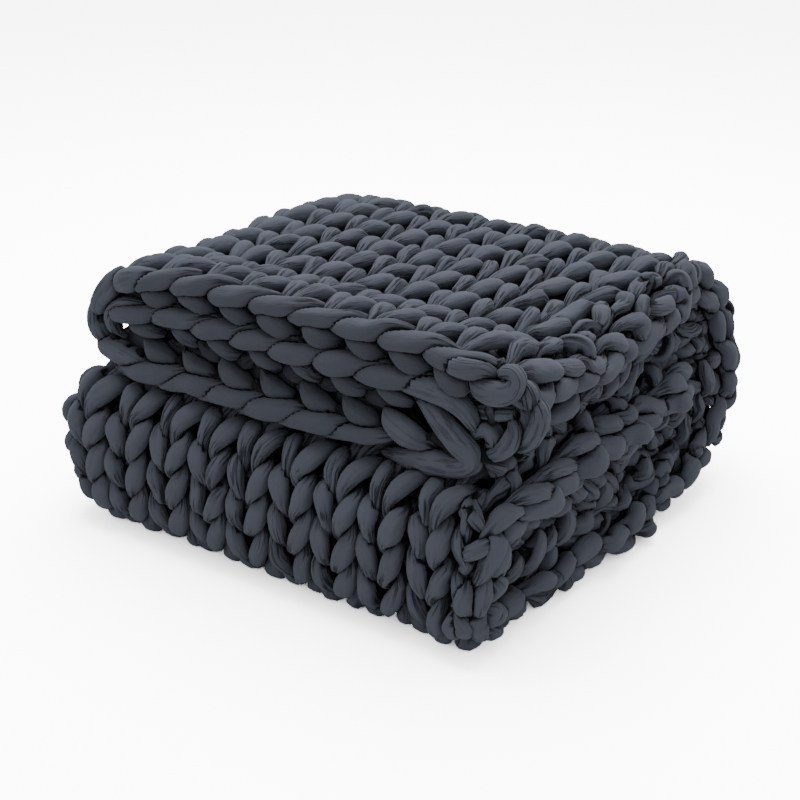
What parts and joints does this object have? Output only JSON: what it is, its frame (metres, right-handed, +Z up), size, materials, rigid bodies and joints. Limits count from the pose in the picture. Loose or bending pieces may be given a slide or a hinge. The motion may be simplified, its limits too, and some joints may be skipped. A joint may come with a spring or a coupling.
{
  "type": "weighted blanket",
  "caption": "Chunky hand-knitted weighted blanket of thick slate yarn, folded in three both ways into a neat block that rests flat.",
  "frame": {"origin": "middle of the footprint, on the surface that the blanket rests on", "axes": "+Z up; -Y towards the side where the end of the top panel shows its three layers; +X towards the side where the selvedge droops over the folds"},
  "size_m": [0.5482, 0.5214, 0.2872],
  "materials": {
    "slate_yarn": "matte brushed jersey, stuffed"
  },
  "bodies": {
    "root": {"blanket": "slate_yarn"}
  },
  "joints": []
}
